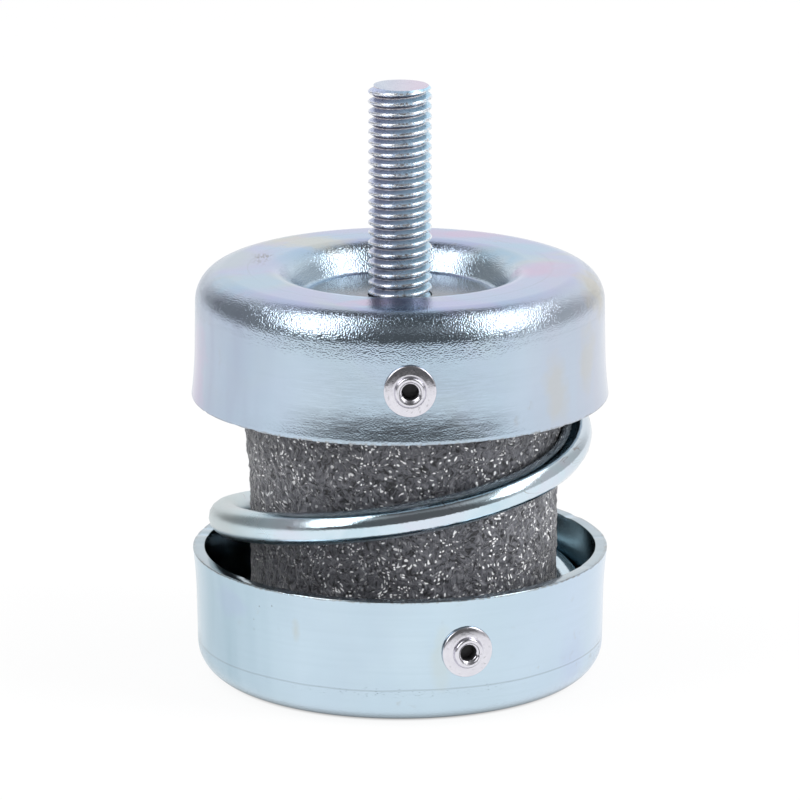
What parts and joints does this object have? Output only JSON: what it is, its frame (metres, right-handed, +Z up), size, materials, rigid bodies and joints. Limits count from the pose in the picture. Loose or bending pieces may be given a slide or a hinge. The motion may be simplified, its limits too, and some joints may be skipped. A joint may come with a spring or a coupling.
{
  "type": "spring vibration isolator",
  "caption": "Round spring mount: two pressed steel cups over a coil spring and foam core, with a threaded stud on top and a threaded base, to isolate machine vibration.",
  "frame": {"origin": "centre of the underside of the lower cup, on the spring axis", "axes": "+Z up along the stud, -Y towards the front with the riveted side, +X to the right"},
  "size_m": [0.0512, 0.0524, 0.0735],
  "materials": {
    "zinc_sheet": "blue-white passivated zinc plate",
    "spring_wire": "blue-white passivated zinc plate",
    "foam": "open-cell foam",
    "bolt_steel": "zinc plate, rolled thread",
    "rivet_alloy": "bright",
    "mandrel_steel": "broken steel stem"
  },
  "bodies": {
    "base": {"lower_cup": "zinc_sheet", "base_nut": "bolt_steel", "coil_spring": "spring_wire", "foam_core": "foam", "rivet_lower_front": "rivet_alloy", "rivet_lower_rear": "rivet_alloy", "mandrel_lower_front": "mandrel_steel", "mandrel_lower_rear": "mandrel_steel"},
    "top": {"upper_cup": "zinc_sheet", "stud_bolt": "bolt_steel", "rivet_upper_front": "rivet_alloy", "rivet_upper_rear": "rivet_alloy", "mandrel_upper_front": "mandrel_steel", "mandrel_upper_rear": "mandrel_steel"}
  },
  "joints": [
    {"name": "spring_travel", "type": "slide", "parent": "base", "child": "top", "axis": [0, 0, 1], "range_m": [-0.019, 0], "stiffness_N_per_m": 15650, "deforming": ["coil_spring", "foam_core"]}
  ]
}
